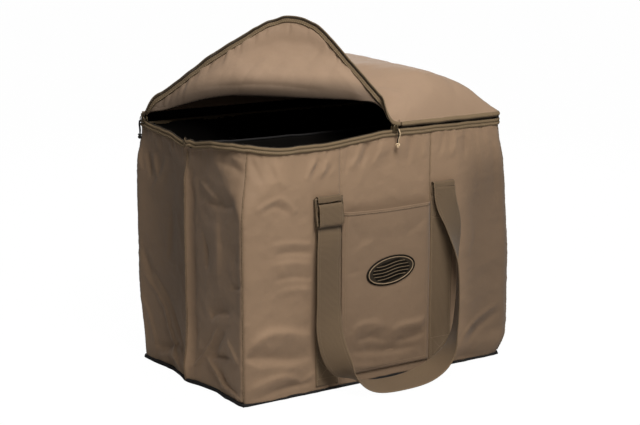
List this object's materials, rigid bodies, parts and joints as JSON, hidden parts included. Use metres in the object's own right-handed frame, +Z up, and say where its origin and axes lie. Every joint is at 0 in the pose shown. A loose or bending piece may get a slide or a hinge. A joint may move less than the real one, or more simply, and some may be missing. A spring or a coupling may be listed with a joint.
{
  "type": "zip-top decoy carry bag",
  "caption": "Large soft-sided zip-top carry bag with inner compartments, a slip pocket, a folded-back lid corner and two long adjustable webbing carry straps.",
  "frame": {"origin": "middle of the base, on the ground", "axes": "+X along the front face towards its right, +Y from the front face to the back, +Z up"},
  "size_m": [0.7458, 0.659, 0.8039],
  "materials": {
    "shell_cloth": "matte",
    "lid_cloth": "matte",
    "divider_cloth": "matte",
    "webbing": "matte",
    "zip_tape": "matte",
    "zip_coil": "satin",
    "black_binding": "matte",
    "adjuster_plastic": "satin",
    "slider_metal": "satin",
    "tan_cord": "matte",
    "black_cord": "matte",
    "patch": "matte"
  },
  "bodies": {
    "bag": {"back_anchor_left": "webbing", "back_anchor_right": "webbing", "back_panel_center": "shell_cloth", "back_panel_left": "shell_cloth", "back_panel_right": "shell_cloth", "back_webbing_left": "webbing", "back_webbing_right": "webbing", "base_binding": "black_binding", "base_panel": "shell_cloth", "corner_piping_back_left": "zip_tape", "corner_piping_back_right": "zip_tape", "corner_piping_front_left": "zip_tape", "corner_piping_front_right": "zip_tape", "divider_bindings": "divider_cloth", "divider_front_left": "divider_cloth", "divider_front_right": "divider_cloth", "divider_long": "divider_cloth", "divider_rear_left": "divider_cloth", "divider_rear_right": "divider_cloth", "front_anchor_left": "webbing", "front_anchor_right": "webbing", "front_panel_center": "shell_cloth", "front_panel_left": "shell_cloth", "front_panel_right": "shell_cloth", "front_pocket": "shell_cloth", "front_webbing_left": "webbing", "front_webbing_right": "webbing", "left_end_front": "shell_cloth", "left_end_rear": "shell_cloth", "oval_patch": "patch", "pocket_hem": "zip_tape", "ridge_piping_left": "zip_tape", "ridge_piping_right": "zip_tape", "right_end_front": "shell_cloth", "right_end_rear": "shell_cloth", "rim_zip_coil": "zip_coil", "rim_zip_tape": "zip_tape", "zip_stops": "zip_coil"},
    "lid": {"lid_panel": "lid_cloth", "lid_zip_tape": "zip_tape", "lid_zip_coil": "zip_coil", "lid_back_binding": "zip_tape"},
    "flap": {"flap_panel": "lid_cloth", "flap_zip_tape": "zip_tape", "flap_zip_coil": "zip_coil"},
    "front_slider": {"front_slider": "slider_metal"},
    "front_pull": {"front_pull_cord": "tan_cord", "front_pull_knot": "tan_cord"},
    "rear_slider": {"rear_slider": "slider_metal"},
    "rear_pull": {"rear_pull_cord": "black_cord", "rear_pull_knot": "black_cord"},
    "front_strap": {"front_strap_left": "webbing", "front_strap_bottom": "webbing", "front_strap_right": "webbing", "front_strap_adjuster": "adjuster_plastic"},
    "back_strap": {"back_strap_left": "webbing", "back_strap_bottom": "webbing", "back_strap_right": "webbing", "back_strap_adjuster": "adjuster_plastic"}
  },
  "joints": [
    {"name": "lid_hinge", "type": "hinge", "parent": "bag", "child": "lid", "pos_m": [0, 0.229, 0.577], "axis": [-1, 0, 0], "range_deg": [0, 165]},
    {"name": "flap_fold", "type": "hinge", "parent": "lid", "child": "flap", "pos_m": [0.057, -0.224, 0.589], "axis": [-0.6824, 0.7309, 0], "range_deg": [-124, 0]},
    {"name": "front_slider_slide", "type": "slide", "parent": "bag", "child": "front_slider", "axis": [1, 0, 0], "range_m": [-0.255, 0.27]},
    {"name": "front_pull_swing", "type": "hinge", "parent": "front_slider", "child": "front_pull", "pos_m": [0.041, -0.2387, 0.5718], "axis": [-1, 0, 0], "range_deg": [0, 120]},
    {"name": "rear_slider_slide", "type": "slide", "parent": "bag", "child": "rear_slider", "axis": [0, -1, 0], "range_m": [0, 0.28]},
    {"name": "rear_pull_swing", "type": "hinge", "parent": "rear_slider", "child": "rear_pull", "pos_m": [-0.3687, 0.197, 0.5718], "axis": [0, 1, 0], "range_deg": [0, 120]},
    {"name": "front_strap_swing", "type": "hinge", "parent": "bag", "child": "front_strap", "pos_m": [0, -0.2318, 0.436], "axis": [1, 0, 0], "range_deg": [-165, 0]},
    {"name": "back_strap_swing", "type": "hinge", "parent": "bag", "child": "back_strap", "pos_m": [0, 0.2318, 0.436], "axis": [-1, 0, 0], "range_deg": [-165, 0]}
  ]
}
